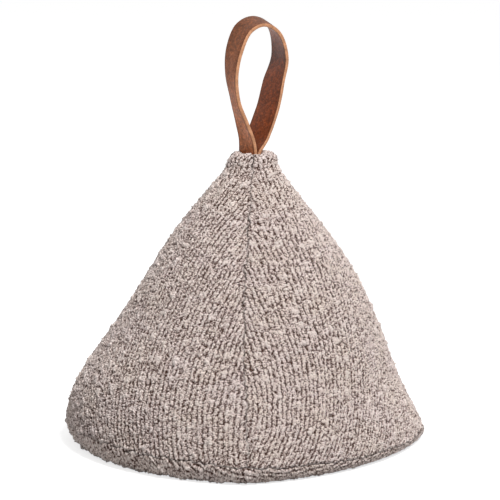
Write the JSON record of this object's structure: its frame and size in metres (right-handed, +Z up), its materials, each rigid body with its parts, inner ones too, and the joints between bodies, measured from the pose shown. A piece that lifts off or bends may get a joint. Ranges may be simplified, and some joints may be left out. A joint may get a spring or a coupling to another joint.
{
  "type": "weighted fabric door stop",
  "caption": "Cone-shaped weighted door stop sewn from boucle fabric over filling and a sand bag, with a leather loop handle at the tip.",
  "frame": {"origin": "middle of the flat underside, on the floor", "axes": "+Z up through the tip; the seam seen from the front stands at -Y, the other corner seams at +X, +Y and -X"},
  "size_m": [0.2552, 0.2552, 0.2958],
  "materials": {
    "boucle": "nubby looped boucle, matt, warm grey-beige",
    "base_boucle": "the same boucle on the underside",
    "strap_leather": "smooth tan leather with raw light cut edges",
    "wadding": "loose polyester fibre",
    "calico": "plain woven cotton bag"
  },
  "bodies": {
    "root": {"side_panel_front_right": "boucle", "side_panel_back_right": "boucle", "side_panel_back_left": "boucle", "side_panel_front_left": "boucle", "base_panel": "base_boucle", "handle_strap": "strap_leather", "fibre_filling": "wadding", "sand_bag": "calico"}
  },
  "joints": []
}
